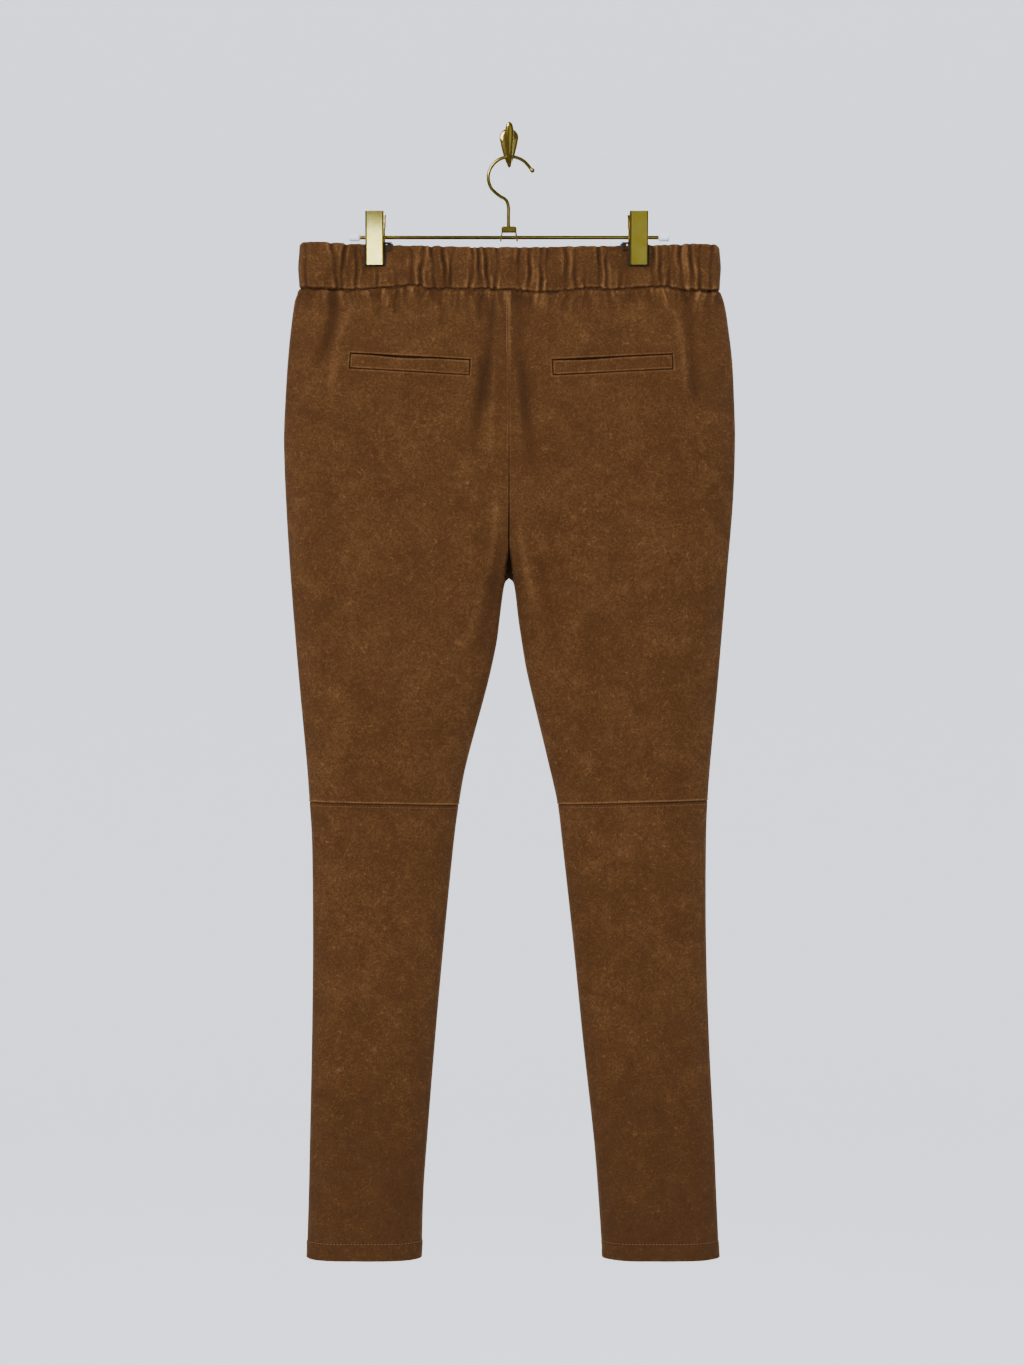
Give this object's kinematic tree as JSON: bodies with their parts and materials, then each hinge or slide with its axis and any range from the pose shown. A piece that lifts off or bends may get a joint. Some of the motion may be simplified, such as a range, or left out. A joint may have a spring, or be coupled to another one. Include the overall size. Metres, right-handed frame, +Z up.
{
  "type": "pull-on suede trousers on a clip hanger and wall hook",
  "caption": "Long slim pull-on suede trousers with a gathered elastic waist and welt seat pockets, hung flat by the waist from a brass clip hanger on a small wall hook.",
  "frame": {"origin": "on the wall, in the flat back of the hook plate, level with the root of the hook's arm", "axes": "+Z up, +Y into the wall, +X to the right of someone who faces the wall and sees the back of the trousers"},
  "size_m": [0.449, 0.0591, 1.1346],
  "materials": {
    "suede": "brown suede with a short brushed nap, matt",
    "brass": "polished and lacquered brass plate",
    "white_plastic": "moulded, smooth",
    "black_rubber": "matt grip rubber"
  },
  "bodies": {
    "root": {"waistband_back_left": "suede", "waistband_back_right": "suede", "waistband_front_left": "suede", "waistband_front_right": "suede", "back_upper_left": "suede", "back_upper_right": "suede", "front_upper_left": "suede", "front_upper_right": "suede", "back_lower_left": "suede", "back_lower_right": "suede", "front_lower_left": "suede", "front_lower_right": "suede", "pocket_welt_left": "suede", "pocket_welt_right": "suede", "hanger_bar": "brass", "hanger_bracket": "brass", "hanger_hook": "brass", "hanger_cap_left": "white_plastic", "hanger_cap_right": "white_plastic", "clip_left_outer_jaw": "brass", "clip_left_wall_jaw": "brass", "clip_left_spring": "brass", "clip_left_outer_pad": "black_rubber", "clip_left_wall_pad": "black_rubber", "clip_right_outer_jaw": "brass", "clip_right_wall_jaw": "brass", "clip_right_spring": "brass", "clip_right_outer_pad": "black_rubber", "clip_right_wall_pad": "black_rubber", "wall_hook_plate": "brass", "wall_hook_arm": "brass"}
  },
  "joints": []
}
